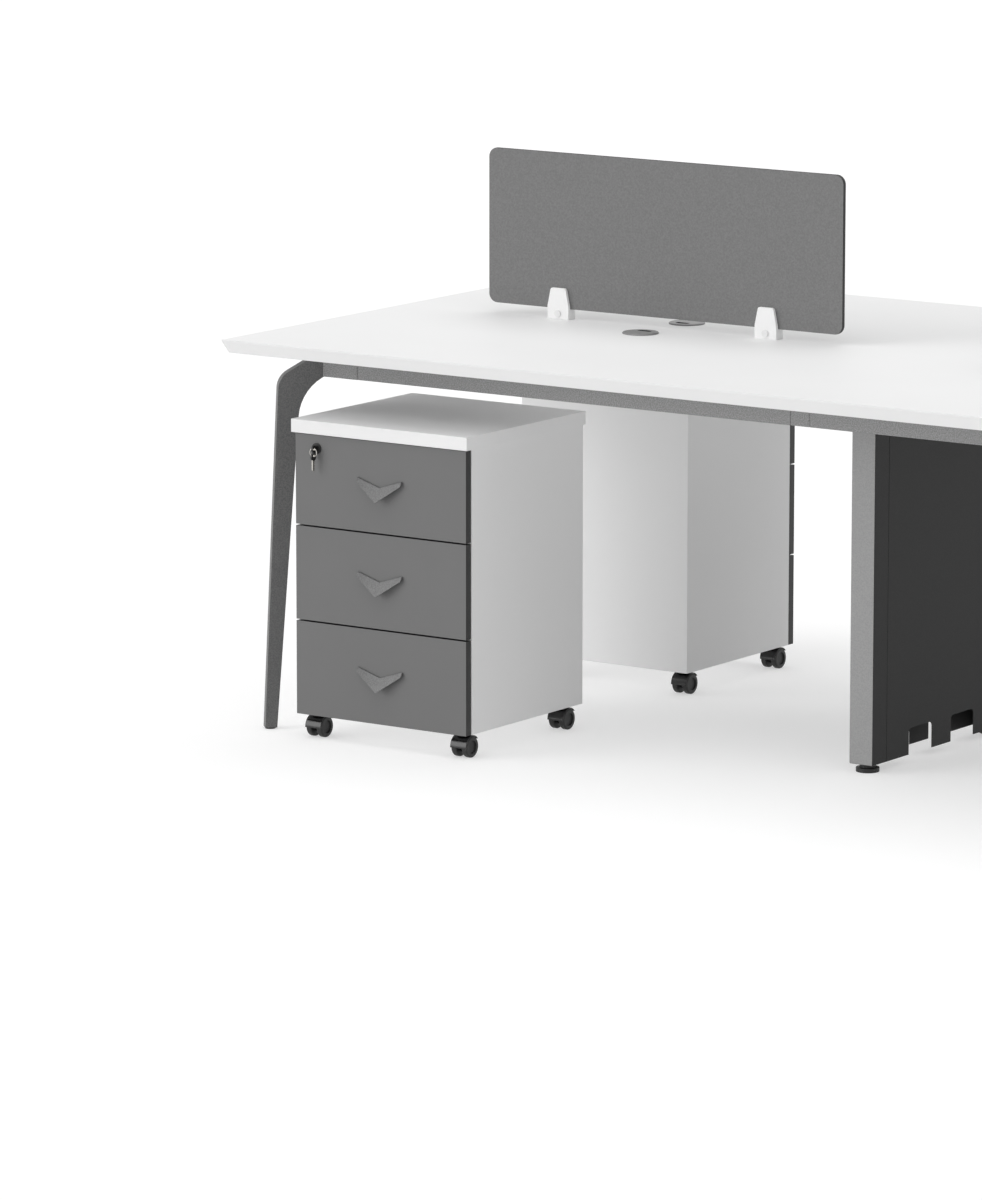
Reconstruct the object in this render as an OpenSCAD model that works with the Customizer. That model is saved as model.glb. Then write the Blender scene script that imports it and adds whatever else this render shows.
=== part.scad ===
// Four-seat bench desk with two desk screens and two mobile three-drawer pedestals.
// Origin: middle of the plan, on the floor. X runs along the bench, the front seats are at -Y, Z is up.
// Each pedestal is drawn about its own middle with its drawers towards -Y, then set in its place.

/* [Table top] */
// Length of the bench top
top_length = 2400; // [2200:10:3000]
// Depth of the bench top, two seats back to back
top_depth = 1200; // [1200:10:1600]
// Height of the working surface
top_height = 750; // [740:1:790]
// Thickness of the board
top_thickness = 25; // [22:1:30]
// How far the undercut edge runs in towards the underside
bevel_inset = 10; // [4:1:20]
// Upright lip left above the undercut
edge_lip = 2; // [1:0.5:6]

/* [Frame] */
// Height of the rail tubes
rail_height = 50; // [44:1:56]
// Depth of the rail tubes, outer face to inner face
rail_depth = 30; // [26:1:40]
// Wall of all the steel tubes
tube_wall = 2; // [1.5:0.5:3]
// From the long edge of the top to the outer face of the long rails
frame_inset_side = 136; // [120:1:170]
// From the end of the top to the outer face of the end rails
frame_inset_end = 120; // [105:1:150]
// Arm of a corner casting, from the corner of the frame to the rail
corner_arm = 96; // [70:1:130]
// Wall of the corner castings, which are open below
casting_wall = 4; // [3:0.5:6]
// How far the spigots reach into the rails
spigot_length = 45; // [25:1:60]
// Width of the transverse beam
beam_width = 40; // [34:1:48]

/* [Corner legs] */
// Thickness of the leg blades
leg_thickness = 24; // [20:1:30]
// Reach of the outer edge at the floor, from the corner of the frame
foot_reach = 102; // [95:1:120]
// Width of a leg at the floor
foot_width = 23; // [22:1:34]
// Reach of the outer edge at the knee
knee_reach = 76; // [72:1:90]
// Width of a leg at the knee
knee_width = 41; // [36:1:50]
// From the underside of the rails down to the knee
knee_drop = 75; // [65:1:120]
// Where the back of the neck leaves the frame, inwards from its corner
neck_root = 14; // [8:1:20]
// Slope of the neck's upper edge below the horizontal
neck_angle = 30; // [24:1:34]
// Slope of the neck's lower edge below the horizontal
throat_angle = 30; // [26:1:36]
// Radius of the outer bend
bend_radius = 40; // [20:1:50]
// Radius of the inner bend
throat_radius = 92; // [60:1:96]
// Height of the thin pads under the feet
pad_height = 3; // [2:0.5:6]

/* [Middle leg] */
// Side of the square posts
post_side = 50; // [44:1:60]
// From the middle of the bench to the middle of a post
post_offset = 220; // [200:5:300]
// Height of the round glides under the posts
glide_height = 16; // [10:1:25]
// Diameter of the round glides
glide_d = 44; // [36:1:50]
// Thickness of the sheet-steel cable panels
sheet = 1.5; // [1:0.5:2]
// Width of the folded edges of the panels
sheet_fold = 14; // [8:1:20]
// Width of the cable notches at the floor
notch_width = 82; // [60:1:100]
// Height of the cable notches
notch_height = 50; // [30:1:80]
// Radius of the upper corners of the notches
notch_radius = 9; // [4:1:20]
// From the middle of the bench to the middle of a notch
notch_offset = 75; // [60:1:90]

/* [Screens] */
// Width of a screen
screen_width = 804; // [600:1:1000]
// Height of a screen's panel
screen_height = 300; // [200:5:500]
// Thickness of a screen
screen_thickness = 9; // [6:1:16]
// Radius of a screen's corners
screen_radius = 18; // [5:1:40]
// Gap between the top and the lower edge of a screen
screen_lift = 20; // [19:1:40]
// From the middle of a screen to the middle of a clip
clip_offset = 236; // [150:1:280]
// Width of a clip at its base
clip_width = 49; // [42:1:60]
// Width of a clip at its upper end
clip_tip_width = 34; // [28:1:40]
// Height of the clips
clip_height = 60; // [50:1:80]
// Height at which the clips start to narrow
clip_shoulder = 25; // [22:1:40]
// Thickness of the jaws beside the screen
clip_jaw = 7; // [5:0.5:10]
// Radius of the upper corners of the jaws
clip_radius = 5; // [2:0.5:8]
// Diameter of the round screw heads on the clips
clip_screw_head_d = 14; // [10:1:16]
// Height of those heads
clip_screw_head = 2.5; // [1:0.5:4]
// Height of the clip screws above the top
clip_screw_rise = 11; // [10:0.5:12]
// Diameter of the clip screws and of the hold-down bolts
clip_bolt_d = 6; // [4:0.5:6]
// Spacing of the two hold-down bolts in a clip
clip_bolt_spacing = 30; // [26:1:34]

/* [Grommets] */
// Diameter of the cable holes in the top
grommet_hole_d = 60; // [50:1:80]
// Diameter of the grommets' rims
grommet_rim_d = 70; // [66:1:90]
// Height of the rims above the top
grommet_rim = 3; // [2.5:0.5:5]
// Depth of the sleeves below the surface of the top
grommet_depth = 22; // [10:1:24]
// Wall of the sleeves
grommet_wall = 4; // [2:0.5:5]
// Thickness of the caps
cap_thickness = 2.2; // [1.5:0.1:2.4]
// Width of the cable slots in the caps
slot_width = 28; // [15:1:34]
// Depth of the cable slots, towards the middle of the cap
slot_depth = 14; // [8:1:18]
// From the middle of the bench to the middle of a grommet
grommet_offset = 80; // [60:1:120]

/* [Pedestal] */
// Width of a pedestal
ped_width = 390; // [340:5:450]
// Depth of a pedestal, drawer faces included
ped_depth = 385; // [350:5:600]
// Free space between a pedestal and the rails above it
ped_headroom = 65; // [40:1:120]
// Height of the case above the floor
ped_lift = 47; // [46:1:60]
// Thickness of the case boards
case_board = 15; // [12:1:18]
// Thickness of the back panel
back_board = 13; // [8:1:16]
// Thickness of the top board
ped_top = 25; // [15:1:30]
// Thickness of the drawer faces
face_thickness = 16; // [12:1:20]
// Height of the top drawer's face, the other two share the rest
top_face_height = 172.5; // [150:0.5:190]
// Gap between the drawer faces
face_gap = 3; // [2:0.5:4]
// Gap between the drawer faces and the case
face_stand_off = 2; // [1:0.5:3]
// How far the top board stands out over the sides
top_side_overhang = 6; // [0:0.5:10]
// How far the top board stands out over the drawer faces
top_front_overhang = 6; // [0:0.5:10]
// Left end of the bench to the middle of the pedestals
ped_place = 346.5; // [335:0.5:700]
// From the front edge of the top to the drawer faces of the front pedestal
ped_a_set_back = 28; // [10:1:60]
// From the rear edge of the top to the drawer faces of the rear pedestal
ped_b_set_back = 39.5; // [10:0.5:60]

/* [Drawers] */
// Height of the drawer boxes
box_height = 105; // [70:1:115]
// From the lower edge of a face to the underside of its box
box_rise = 24; // [20:1:40]
// Thickness of the box walls
box_wall = 12; // [8:1:14]
// Thickness of the box bottoms
box_bottom = 5; // [3:1:8]
// Free space behind the drawer boxes
box_back_gap = 16; // [10:1:60]
// Height of a drawer runner
runner_height = 35; // [30:1:46]
// Depth of a runner, between the case and the box
runner_depth = 12; // [10:1:15]
// Sheet thickness of the runners
runner_sheet = 1.2; // [1:0.1:1.5]
// Height of the lips that keep a slide in its channel
runner_lip = 6; // [4:0.5:8]

/* [Handles] */
// Width of a handle
handle_width = 102; // [80:1:140]
// How far the tips rise above the middle of the upper edge
handle_tip_rise = 16; // [10:1:20]
// Height of the narrow ends
handle_tip = 9; // [6:0.5:12]
// How far the point reaches below the middle of the upper edge
handle_point = 27; // [20:1:36]
// How far the lower point stands out from the drawer face
handle_fold = 18; // [14:0.5:26]
// Thickness of the handle plate
handle_plate = 3; // [2:0.5:4]
// Diameter of the studs that hold a handle
handle_stud_d = 3; // [2:0.5:4]
// Length of those studs inside the face
handle_stud = 12; // [8:0.5:12]

/* [Lock] */
// From the left side of the pedestal to the lock
lock_inset = 49; // [40:1:70]
// From the upper edge of the top face down to the lock
lock_drop = 25.5; // [20:0.5:30]
// Diameter of the lock's rim
lock_rim_d = 21; // [18:0.5:24]
// Thickness of the rim
lock_rim = 2; // [1:0.5:3]
// Diameter of the lock's barrel
lock_barrel_d = 17; // [16:0.5:17]
// Diameter of the turning plug
lock_plug_d = 12; // [10:0.5:13]
// How far the barrel reaches behind the face
lock_tail = 5; // [3:0.5:10]
// Length of the cam arm, from the axis
cam_length = 20; // [12:0.5:22]
// Thickness of the cam
cam_thickness = 2; // [1.5:0.5:3]
// Width of a key's head
key_head_d = 14; // [12:0.5:16]
// Thickness of a key's head
key_head = 3; // [2:0.5:4]
// Length of a key's blade
key_blade = 21; // [16:0.5:28]
// Width of a key's blade
key_blade_width = 7; // [5:0.5:8]
// Thickness of a key's blade
key_blade_sheet = 2; // [1:0.5:2]
// Diameter of the hole in a key's head
key_hole_d = 5; // [4:0.5:6]
// Outer diameter of the split ring
ring_d = 17; // [16:0.5:22]
// Thickness of the ring's wire
ring_wire = 1.6; // [1:0.1:2]

/* [Casters] */
// Diameter of the wheels
wheel_d = 40; // [34:1:40]
// Width of one wheel
wheel_width = 12; // [10:0.5:13]
// Gap between the two wheels of a caster
wheel_gap = 12; // [11:0.5:18]
// Width of the web between the wheels
web_width = 9; // [7:0.5:10]
// Space between the wheels and the hood
hood_gap = 1; // [0.6:0.1:1.2]
// Thickness of the hood
hood_wall = 1.5; // [1:0.1:2]
// Lower end of the hood in front, below the axle's level
hood_front_angle = 2; // [0:1:20]
// Upper end of the hood behind, above the axle's level
hood_back_angle = 40; // [10:1:60]
// Diameter of the axles
axle_d = 5; // [4:0.5:6]
// How far the axle trails behind the stem
caster_trail = 3; // [1:0.5:6]
// Diameter of the stems
stem_d = 8; // [6:0.5:10]
// How far a stem reaches up into its socket
stem_length = 9; // [6:0.5:10]
// Diameter of the sockets
socket_d = 14; // [12:0.5:18]
// Diameter of the swivel collars
collar_d = 24; // [20:1:30]
// Side of the caster plates
plate_side = 38; // [32:1:44]
// Thickness of the caster plates
plate_thickness = 2; // [1.5:0.5:2]
// From the sides of the pedestal to the middle of a caster
caster_inset_side = 27.5; // [26:0.5:40]
// From the front and the back of the pedestal to a caster's stem
caster_inset_end = 32; // [30:0.5:45]

/* [Screws] */
// Diameter of the screws that hold the top to the rails
wood_screw_d = 4.5; // [3.5:0.5:5]
// How deep those screws reach into the top
wood_screw_bite = 16; // [10:1:18]
// Diameter of their heads
wood_screw_head_d = 9; // [7:0.5:11]
// Height of their heads
wood_screw_head = 3; // [2:0.5:4]

/* [Fits] */
// Gap around pieces that are pushed together
clearance = 0.3; // [0.2:0.05:0.4]
// Gap around shafts, stems and plugs that turn
running = 0.06; // [0.04:0.01:0.09]
// Overrun of cuts past a surface
over = 1; // [0.5:0.1:2]

/* [Hidden] */
$fn = 64;
CASTERS = [1, 2, 3, 4];
DRAWERS = [1, 2, 3];

board_color = "whitesmoke";
steel_color = [0.52, 0.52, 0.53];
dark_steel_color = [0.24, 0.24, 0.25];
felt_color = [0.47, 0.47, 0.48];
case_color = [0.84, 0.84, 0.84];
face_color = [0.45, 0.45, 0.46];
handle_color = [0.5, 0.5, 0.51];
plastic_color = [0.1, 0.1, 0.11];
zinc_color = [0.72, 0.72, 0.74];

top_underside = top_height - top_thickness;
rail_underside = top_underside - rail_height;
frame_half_x = top_length / 2 - frame_inset_end;
frame_half_y = top_depth / 2 - frame_inset_side;
long_rail_length = frame_half_x - corner_arm - beam_width / 2;
end_rail_length = 2 * (frame_half_y - corner_arm);
rail_inner_depth = rail_depth - 2 * tube_wall;
rail_inner_height = rail_height - 2 * tube_wall;
seat_x = top_length / 4;
SIDES = [-1, 1];

// Places of the screws that hold the top: three along each long rail, two along each end rail.
screw_shares = [0.12, 0.5, 0.88];
end_screw_shares = [0.2, 0.8];
long_screw_places = [for (sx = SIDES, sy = SIDES, s = screw_shares)
    [sx * (beam_width / 2 + s * long_rail_length), sy * (frame_half_y - rail_depth / 2)]];
end_screw_places = [for (sx = SIDES, s = end_screw_shares)
    [sx * (frame_half_x - rail_depth / 2), (s - 1 / 2) * end_rail_length]];
wood_screw_places = concat(long_screw_places, end_screw_places);
clip_places = [for (sx = SIDES, side = SIDES) [sx * seat_x + side * clip_offset, 0]];
clip_bolt_places = [for (p = clip_places, side = SIDES) [p[0] + side * clip_bolt_spacing / 2, p[1]]];
grommet_places = [for (sx = SIDES, sy = SIDES) [sx * seat_x, sy * grommet_offset]];

// A rounded rectangle about the middle.
module rounded_rect(w, h, r) {
    square([w - 2 * r, h], center = true);
    square([w, h - 2 * r], center = true);
    for (x = SIDES, y = SIDES)
        translate([x * (w / 2 - r), y * (h / 2 - r)]) circle(r);
}

// A box whose lower face is centred on the origin.
module block(size) {
    translate([-size[0] / 2, -size[1] / 2, 0]) cube(size);
}

// A rectangular tube along X about the origin.
module tube(length, depth, height, wall) {
    difference() {
        cube([length, depth, height], center = true);
        cube([length + 2 * over, depth - 2 * wall, height - 2 * wall], center = true);
    }
}

// Board with a lip at its edge and an undercut below the lip, all round.
module undercut_profile(width) {
    polygon([
        [-width / 2, 0], [-width / 2, -edge_lip], [-width / 2 + bevel_inset, -top_thickness],
        [width / 2 - bevel_inset, -top_thickness], [width / 2, -edge_lip], [width / 2, 0]]);
}

module table_top() {
    color(board_color)
    difference() {
        translate([0, 0, top_height])
        intersection() {
            rotate([90, 0, 0]) linear_extrude(top_depth, center = true) undercut_profile(top_length);
            rotate([90, 0, 90]) linear_extrude(top_length, center = true) undercut_profile(top_depth);
        }
        for (p = grommet_places)
            translate([p[0], p[1], top_underside - over])
            cylinder(h = top_thickness + 2 * over, d = grommet_hole_d);
        for (p = clip_bolt_places)
            translate([p[0], p[1], top_underside - over])
            cylinder(h = top_thickness + 2 * over, d = clip_bolt_d + 2 * clearance);
        for (p = wood_screw_places)
            translate([p[0], p[1], top_underside - over])
            cylinder(h = wood_screw_bite + over + clearance, d = wood_screw_d + 2 * clearance);
    }
}

// The leg's outline in its own upright plane: first value outwards from the frame's corner, second up.
function unit(v) = v / norm(v);
// Where the line from p at an angle below the horizontal meets the line through a and b.
function meet(p, angle, a, b) =
    let (d = [cos(angle), -sin(angle)], e = b - a,
         t = ((a[0] - p[0]) * e[1] - (a[1] - p[1]) * e[0]) / (d[0] * e[1] - d[1] * e[0]))
    p + t * d;

knee_height = rail_underside - knee_drop;
foot_outer = [foot_reach, pad_height];
foot_inner = [foot_reach - foot_width, pad_height];
knee_outer = [knee_reach, knee_height];
knee_inner = [knee_reach - knee_width, knee_height];
neck_start = [-neck_root, top_underside];
throat_start = [-neck_root, rail_underside];
bend_corner = meet(neck_start, neck_angle, foot_outer, knee_outer);
throat_corner = meet(throat_start, throat_angle, foot_inner, knee_inner);

// What lies between a corner and the arc that rounds it, run out past the corner's two edges.
module corner_fillet(corner, toward_a, toward_b, radius) {
    a = unit(toward_a - corner);
    b = unit(toward_b - corner);
    half = acos(a * b) / 2;
    run = radius / tan(half);
    difference() {
        polygon([corner - unit(a + b) * over, corner + a * run, corner + b * run]);
        translate(corner + unit(a + b) * radius / sin(half)) circle(radius, $fn = 128);
    }
}

module leg_profile() {
    difference() {
        union() {
            polygon([
                [-rail_depth, top_underside], neck_start, bend_corner, foot_outer, foot_inner,
                throat_corner, throat_start, [-rail_depth, rail_underside]]);
            corner_fillet(throat_corner, throat_start, foot_inner, throat_radius);
        }
        corner_fillet(bend_corner, neck_start, foot_outer, bend_radius);
    }
}

// One arm of a corner casting along X: open below, with a solid spigot for the rail.
module casting_arm() {
    difference() {
        cube([corner_arm, rail_depth, rail_height]);
        translate([rail_depth, casting_wall, -over])
        cube([corner_arm - rail_depth - casting_wall, rail_depth - 2 * casting_wall,
              rail_height - casting_wall + over]);
    }
    translate([corner_arm - over, tube_wall + clearance, tube_wall + clearance])
    cube([spigot_length + over, rail_inner_depth - 2 * clearance, rail_inner_height - 2 * clearance]);
}

// Corner casting and leg, for the corner at -X and -Y.
module corner_leg() {
    difference() {
        union() {
            translate([0, 0, rail_underside]) casting_arm();
            translate([0, 0, rail_underside]) mirror([1, -1, 0]) casting_arm();
            rotate([90, 0, 225]) linear_extrude(leg_thickness, center = true) leg_profile();
        }
        rotate([0, 0, 225])
        translate([foot_reach - foot_width / 2, 0, pad_height - over])
        cylinder(h = pad_pin + over + clearance, d = pad_pin_d + 2 * clearance);
    }
}

module each_corner() {
    for (mx = [0, 1], my = [0, 1])
        mirror([mx, 0, 0]) mirror([0, my, 0]) translate([-frame_half_x, -frame_half_y, 0]) children();
}

module corner_legs() {
    color(dark_steel_color) each_corner() corner_leg();
}

rail_middle = rail_underside + rail_height / 2;
long_rail_x = (beam_width + long_rail_length) / 2;

module frame_rails() {
    color(steel_color)
    difference() {
        union() {
            for (sx = SIDES, sy = SIDES)
                translate([sx * long_rail_x, sy * (frame_half_y - rail_depth / 2), rail_middle])
                tube(long_rail_length, rail_depth, rail_height, tube_wall);
            for (sx = SIDES)
                translate([sx * (frame_half_x - rail_depth / 2), 0, rail_middle])
                rotate([0, 0, 90]) tube(end_rail_length, rail_depth, rail_height, tube_wall);
        }
        for (p = wood_screw_places) {
            translate([p[0], p[1], top_underside - tube_wall - over])
            cylinder(h = tube_wall + 2 * over, d = wood_screw_d + 2 * clearance);
            translate([p[0], p[1], rail_underside - over])
            cylinder(h = tube_wall + 2 * over, d = wood_screw_head_d + 2 * clearance);
        }
    }
}

post_height = rail_underside - glide_height;
post_inner = post_side - 2 * tube_wall;

// Transverse beam with its rail spigots, and the two posts welded under it.
module middle_frame() {
    color(steel_color)
    difference() {
        union() {
            translate([0, 0, rail_underside]) block([beam_width, 2 * frame_half_y, rail_height]);
            for (sy = SIDES)
                translate([0, sy * (frame_half_y - rail_depth / 2),
                           rail_underside + tube_wall + clearance])
                block([beam_width + 2 * spigot_length, rail_inner_depth - 2 * clearance,
                       rail_inner_height - 2 * clearance]);
            for (sy = SIDES)
                translate([0, sy * post_offset, glide_height]) block([post_side, post_side, post_height]);
        }
        translate([0, 0, rail_underside + tube_wall])
        block([beam_width - 2 * tube_wall, 2 * (frame_half_y - rail_depth), rail_inner_height]);
        for (sy = SIDES)
            translate([0, sy * post_offset, glide_height - over])
            block([post_inner, post_inner, post_height - tube_wall + over]);
        for (sy = SIDES)
            translate([0, sy * post_offset, rail_underside - tube_wall - over])
            cylinder(h = 2 * tube_wall + 2 * over, d = beam_width / 2);
    }
}

panel_width = 2 * post_offset - post_side;

module panel_profile() {
    difference() {
        translate([-panel_width / 2, 0]) square([panel_width, post_height]);
        for (side = SIDES)
            translate([side * notch_offset, 0])
            intersection() {
                rounded_rect(notch_width, 2 * notch_height, notch_radius);
                translate([-notch_width, -over]) square([2 * notch_width, 2 * notch_height]);
            }
    }
}

// Two sheets flush with the posts' faces, each with its upright edges folded inwards.
module cable_panels() {
    color(dark_steel_color)
    for (mx = [0, 1])
        mirror([mx, 0, 0]) {
            translate([post_side / 2 - sheet, 0, glide_height])
            rotate([90, 0, 90]) linear_extrude(sheet) panel_profile();
            for (side = SIDES)
                translate([post_side / 2 - sheet_fold / 2, side * (panel_width - sheet) / 2, glide_height])
                block([sheet_fold, sheet, post_height]);
        }
}

pad_d_share = 0.84;
pad_d = leg_thickness * pad_d_share;
pad_pin = 4 * pad_height;
pad_pin_d = leg_thickness / 3;
glide_neck_share = 0.68;

module floor_glides() {
    color(plastic_color) {
        each_corner()
            rotate([0, 0, 225]) translate([foot_reach - foot_width / 2, 0, 0]) {
                cylinder(h = pad_height, d = pad_d);
                cylinder(h = pad_height + pad_pin, d = pad_pin_d);
            }
        for (sy = SIDES)
            translate([0, sy * post_offset, 0]) {
                cylinder(h = glide_height / 2, d = glide_d);
                cylinder(h = glide_height, d = glide_d * glide_neck_share);
                translate([0, 0, glide_height])
                block([post_inner - 2 * clearance, post_inner - 2 * clearance, glide_height]);
            }
    }
}

module screens() {
    color(felt_color)
    for (sx = SIDES)
        translate([sx * seat_x, 0, top_height + screen_lift + screen_height / 2])
        rotate([90, 0, 0])
        linear_extrude(screen_thickness, center = true)
        rounded_rect(screen_width, screen_height, screen_radius);
}

clip_depth = screen_thickness + 2 * clearance + 2 * clip_jaw;

// Clip seen from the front: upright base, then sides that lean in to rounded upper corners.
module clip_profile() {
    tip = [clip_tip_width / 2, clip_height];
    shoulder = [clip_width / 2, clip_shoulder];
    difference() {
        polygon([
            [-shoulder[0], 0], [shoulder[0], 0], shoulder, tip, [-tip[0], tip[1]],
            [-shoulder[0], shoulder[1]]]);
        for (m = [0, 1])
            mirror([m, 0]) corner_fillet(tip, shoulder, [0, tip[1]], clip_radius);
    }
}

module screen_clip() {
    difference() {
        rotate([90, 0, 0]) linear_extrude(clip_depth, center = true) clip_profile();
        translate([0, 0, screen_lift])
        block([clip_width + 2 * over, screen_thickness + 2 * clearance, clip_height]);
        translate([0, -clip_depth / 2 - over, clip_screw_rise])
        rotate([-90, 0, 0]) cylinder(h = clip_depth - clip_jaw + over, d = clip_bolt_d + 2 * clearance);
        for (side = SIDES)
            translate([side * clip_bolt_spacing / 2, 0, -over])
            cylinder(h = screen_lift - clip_bolt_roof + over, d = clip_bolt_d + 2 * clearance);
    }
}

clip_bolt_roof_share = 0.2;
clip_bolt_roof = screen_lift * clip_bolt_roof_share;

module screen_clips() {
    color("white") for (p = clip_places) translate([p[0], p[1], top_height]) screen_clip();
}

// A screw with a flat round head below its shank, both upwards from the origin.
module screw(head_d, head, d, length) {
    translate([0, 0, -head]) cylinder(h = head, d = head_d);
    cylinder(h = length, d = d);
}

module fixing_screws() {
    color(zinc_color) {
        for (p = clip_places)
            translate([p[0], p[1] - clip_depth / 2, top_height + clip_screw_rise])
            rotate([-90, 0, 0])
            screw(clip_screw_head_d, clip_screw_head, clip_bolt_d, clip_depth - clip_jaw - clearance);
        for (p = clip_bolt_places)
            translate([p[0], p[1], top_underside])
            screw(clip_screw_head_d, clip_screw_head, clip_bolt_d,
                  top_thickness + screen_lift - clip_bolt_roof - clearance);
        for (p = wood_screw_places)
            translate([p[0], p[1], top_underside - tube_wall])
            screw(wood_screw_head_d, wood_screw_head, wood_screw_d, tube_wall + wood_screw_bite);
    }
}

sleeve_r = grommet_hole_d / 2 - clearance;
sleeve_bore_r = sleeve_r - grommet_wall;
cap_seat = grommet_rim - cap_thickness;
cap_r = sleeve_r;

module grommet_sleeve() {
    rotate_extrude()
    polygon([
        [sleeve_bore_r, -grommet_depth], [sleeve_r, -grommet_depth], [sleeve_r, 0],
        [grommet_rim_d / 2, 0], [grommet_rim_d / 2, grommet_rim / 2],
        [grommet_rim_d / 2 - grommet_rim / 2, grommet_rim], [cap_r + running, grommet_rim],
        [cap_r + running, cap_seat - running], [sleeve_bore_r, cap_seat - running]]);
}

module grommet_sleeves() {
    color(zinc_color) for (p = grommet_places) translate([p[0], p[1], top_height]) grommet_sleeve();
}

cap_skirt = 2 * cap_thickness;
cap_skirt_r = sleeve_bore_r - running;
cap_skirt_wall = cap_thickness;
slot_reach_r = cap_skirt_r - cap_skirt_wall;

// Cap with a skirt that turns in the sleeve, and a D-shaped slot on the side of +Y.
module grommet_cap() {
    difference() {
        rotate_extrude()
        polygon([
            [0, cap_seat], [slot_reach_r, cap_seat], [slot_reach_r, cap_seat - cap_skirt],
            [cap_skirt_r, cap_seat - cap_skirt], [cap_skirt_r, cap_seat], [cap_r, cap_seat],
            [cap_r, grommet_rim], [0, grommet_rim]]);
        translate([0, 0, cap_seat - over])
        linear_extrude(cap_thickness + 2 * over)
        intersection() {
            circle(slot_reach_r);
            translate([-slot_width / 2, slot_reach_r - slot_depth]) square([slot_width, slot_depth]);
        }
    }
}

module placed_cap(i) {
    p = grommet_places[i - 1];
    color(zinc_color)
    translate([p[0], p[1], top_height])
    rotate([0, 0, p[1] > 0 ? 180 : 0]) grommet_cap();
}

ped_height = rail_underside - ped_headroom;
ped_front = -ped_depth / 2;
face_back = ped_front + face_thickness;
case_front = face_back + face_stand_off;
case_top = ped_height - ped_top;
case_inner_half = ped_width / 2 - case_board;
back_inner = ped_depth / 2 - back_board;
faces_span = case_top - face_stand_off - ped_lift;
lower_face_height = (faces_span - top_face_height) / 2 - face_gap;
function face_height(i) = i == 1 ? top_face_height : lower_face_height;
function face_bottom(i) = ped_lift + (3 - i) * (lower_face_height + face_gap);
function face_middle(i) = face_bottom(i) + face_height(i) / 2;
caster_places = [for (sy = SIDES, sx = SIDES)
    [sx * (ped_width / 2 - caster_inset_side), sy * (ped_depth / 2 - caster_inset_end)]];
plate_underside = ped_lift - plate_thickness;
socket_top = plate_underside + stem_length + over;

// Sides on a full-width bottom, with the back panel set between the sides.
module ped_case() {
    color(case_color)
    difference() {
        union() {
            for (mx = [0, 1])
                mirror([mx, 0, 0])
                translate([case_inner_half, case_front, ped_lift])
                cube([case_board, ped_depth / 2 - case_front, case_top - ped_lift]);
            translate([-ped_width / 2, case_front, ped_lift])
            cube([ped_width, ped_depth / 2 - case_front, case_board]);
            translate([-ped_width / 2, back_inner, ped_lift])
            cube([ped_width, back_board, case_top - ped_lift]);
        }
        for (p = caster_places)
            translate([p[0], p[1], ped_lift - over])
            cylinder(h = socket_top + clearance - ped_lift + over, d = socket_d + 2 * clearance);
    }
}

// Flush with the back, and standing out a little over the sides and the drawer faces.
module ped_top_board() {
    color(board_color)
    translate([-ped_width / 2 - top_side_overhang, ped_front - top_front_overhang, case_top])
    cube([ped_width + 2 * top_side_overhang, ped_depth + top_front_overhang, ped_top]);
}

box_half = case_inner_half - runner_depth - clearance;
box_length = back_inner - box_back_gap - face_back;
runner_start = case_front + face_stand_off;
runner_length = back_inner - runner_start - box_back_gap / 2;
function box_floor(i) = face_bottom(i) + box_rise;
function runner_middle(i) = box_floor(i) + box_height / 2;

// Fixed channel seen from the front, for the wall at +X: web on the wall, lips towards the drawer.
module channel_profile() {
    translate([-runner_sheet, -runner_height / 2]) square([runner_sheet, runner_height]);
    for (m = [0, 1])
        mirror([0, m]) {
            translate([-runner_depth, runner_height / 2 - runner_sheet])
            square([runner_depth, runner_sheet]);
            translate([-runner_depth, runner_height / 2 - runner_lip]) square([runner_sheet, runner_lip]);
        }
}

module ped_runners() {
    color(zinc_color)
    for (i = DRAWERS, mx = [0, 1])
        mirror([mx, 0, 0])
        translate([case_inner_half, runner_start + runner_length, runner_middle(i)])
        rotate([90, 0, 0]) linear_extrude(runner_length) channel_profile();
}

slide_head = runner_depth / 3;
slide_height = runner_height - 2 * runner_sheet - 2 * clearance;
slide_neck = runner_height - 2 * runner_lip - 2 * clearance;

// Open box with the slides on its sides, which run in the channels.
module drawer_box(i) {
    length = box_length;
    color(zinc_color)
    translate([0, face_back, box_floor(i)]) {
        difference() {
            translate([-box_half, 0, 0]) cube([2 * box_half, length, box_height]);
            translate([-box_half + box_wall, box_wall, box_bottom])
            cube([2 * (box_half - box_wall), length - 2 * box_wall, box_height]);
        }
        for (mx = [0, 1])
            mirror([mx, 0, 0])
            translate([box_half, runner_start - face_back, box_height / 2]) {
                translate([-over, 0, -slide_neck / 2])
                cube([runner_depth / 2 + over, runner_length - box_back_gap / 2, slide_neck]);
                translate([runner_sheet + 2 * clearance, 0, -slide_height / 2])
                cube([slide_head, runner_length - box_back_gap / 2, slide_height]);
            }
    }
}

stud_share = 0.84;
stud_x = handle_width / 2 * stud_share;
stud_z = handle_tip_rise * stud_share - handle_stud_d;

module drawer_face(i) {
    color(face_color)
    difference() {
        translate([-ped_width / 2, ped_front, face_bottom(i)])
        cube([ped_width, face_thickness, face_height(i)]);
        for (side = SIDES)
            translate([side * stud_x, ped_front - over, face_middle(i) + stud_z])
            rotate([-90, 0, 0])
            cylinder(h = handle_stud + over + clearance, d = handle_stud_d + 2 * clearance);
        if (i == 1)
            translate([lock_x, ped_front - over, lock_z])
            rotate([-90, 0, 0]) cylinder(h = face_thickness + 2 * over, d = lock_barrel_d + 2 * clearance);
    }
}

handle_half = handle_width / 2;
handle_lean = (handle_fold - handle_plate) / handle_point;
// The right wing seen from the front: from the valley to the upper tip, the lower tip and the point.
wing_outline = [
    [0, 0], [handle_half, handle_tip_rise], [handle_half, handle_tip_rise - handle_tip], [0, -handle_point]];
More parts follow.
